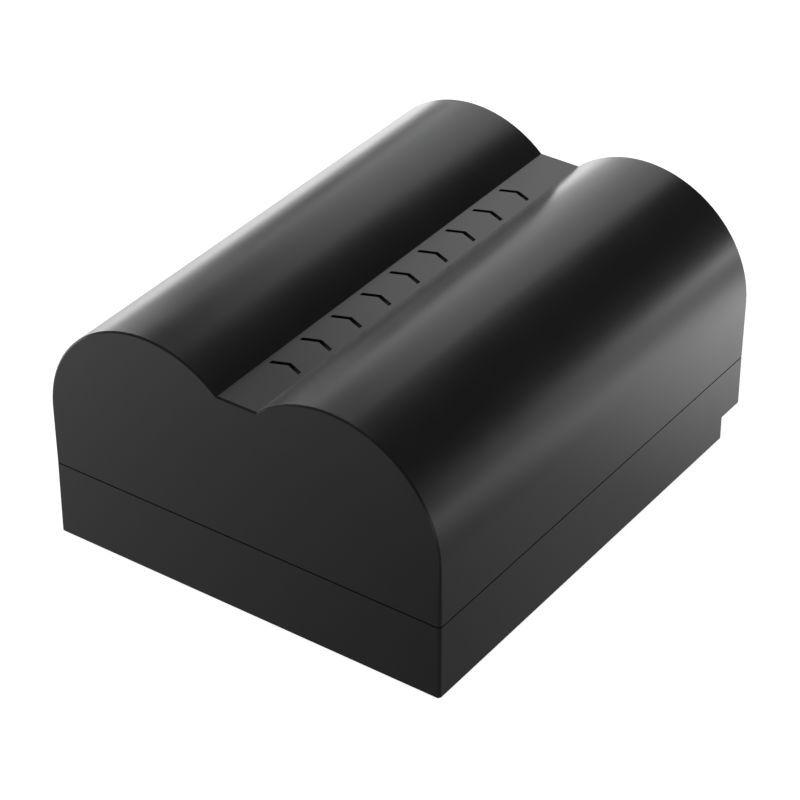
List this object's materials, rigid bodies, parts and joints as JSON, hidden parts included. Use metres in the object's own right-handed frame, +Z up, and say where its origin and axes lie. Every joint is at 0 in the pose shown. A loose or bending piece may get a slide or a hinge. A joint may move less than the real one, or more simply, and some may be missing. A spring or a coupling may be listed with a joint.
{
  "type": "camera battery",
  "caption": "Rechargeable camera battery: flat-based black moulded case with half-round lobes over cylindrical cells, a flat valley between them, and recessed contacts in slots at one end.",
  "frame": {"origin": "centre of the flat base that the pack rests on", "axes": "+X across the two cells, +Y along them towards the contact end, +Z up out of the base"},
  "size_m": [0.0396, 0.0478, 0.0238],
  "materials": {
    "case_plastic": "satin moulded",
    "can_steel": "nickel-plated",
    "sleeve_film": "shrink film",
    "ring_paper": "matte",
    "foam": "matte",
    "nickel": "bright strip",
    "barley_paper": "matte",
    "board": "solder resist",
    "chip_epoxy": "moulded",
    "ceramic_white": "fired",
    "ceramic_tan": "fired",
    "gold_plate": "plated"
  },
  "bodies": {
    "root": {"upper_case": "case_plastic", "lower_cover": "case_plastic", "cell_left": "can_steel", "cell_right": "can_steel", "sleeve_left": "sleeve_film", "sleeve_right": "sleeve_film", "insulating_ring_left": "ring_paper", "insulating_ring_right": "ring_paper", "foam_pad_left": "foam", "foam_pad_right": "foam", "series_strip": "nickel", "positive_strip": "nickel", "negative_strip": "nickel", "near_insulator": "barley_paper", "far_insulator": "barley_paper", "board_insulator": "barley_paper", "circuit_board": "board", "protection_chip": "chip_epoxy", "mosfet_chip": "chip_epoxy", "fuse": "ceramic_white", "sense_resistor": "chip_epoxy", "thermistor": "ceramic_white", "capacitor_1": "ceramic_tan", "capacitor_2": "ceramic_tan", "capacitor_3": "ceramic_tan", "terminal_positive": "gold_plate", "terminal_temperature": "gold_plate", "terminal_data": "gold_plate", "terminal_negative": "gold_plate"}
  },
  "joints": []
}
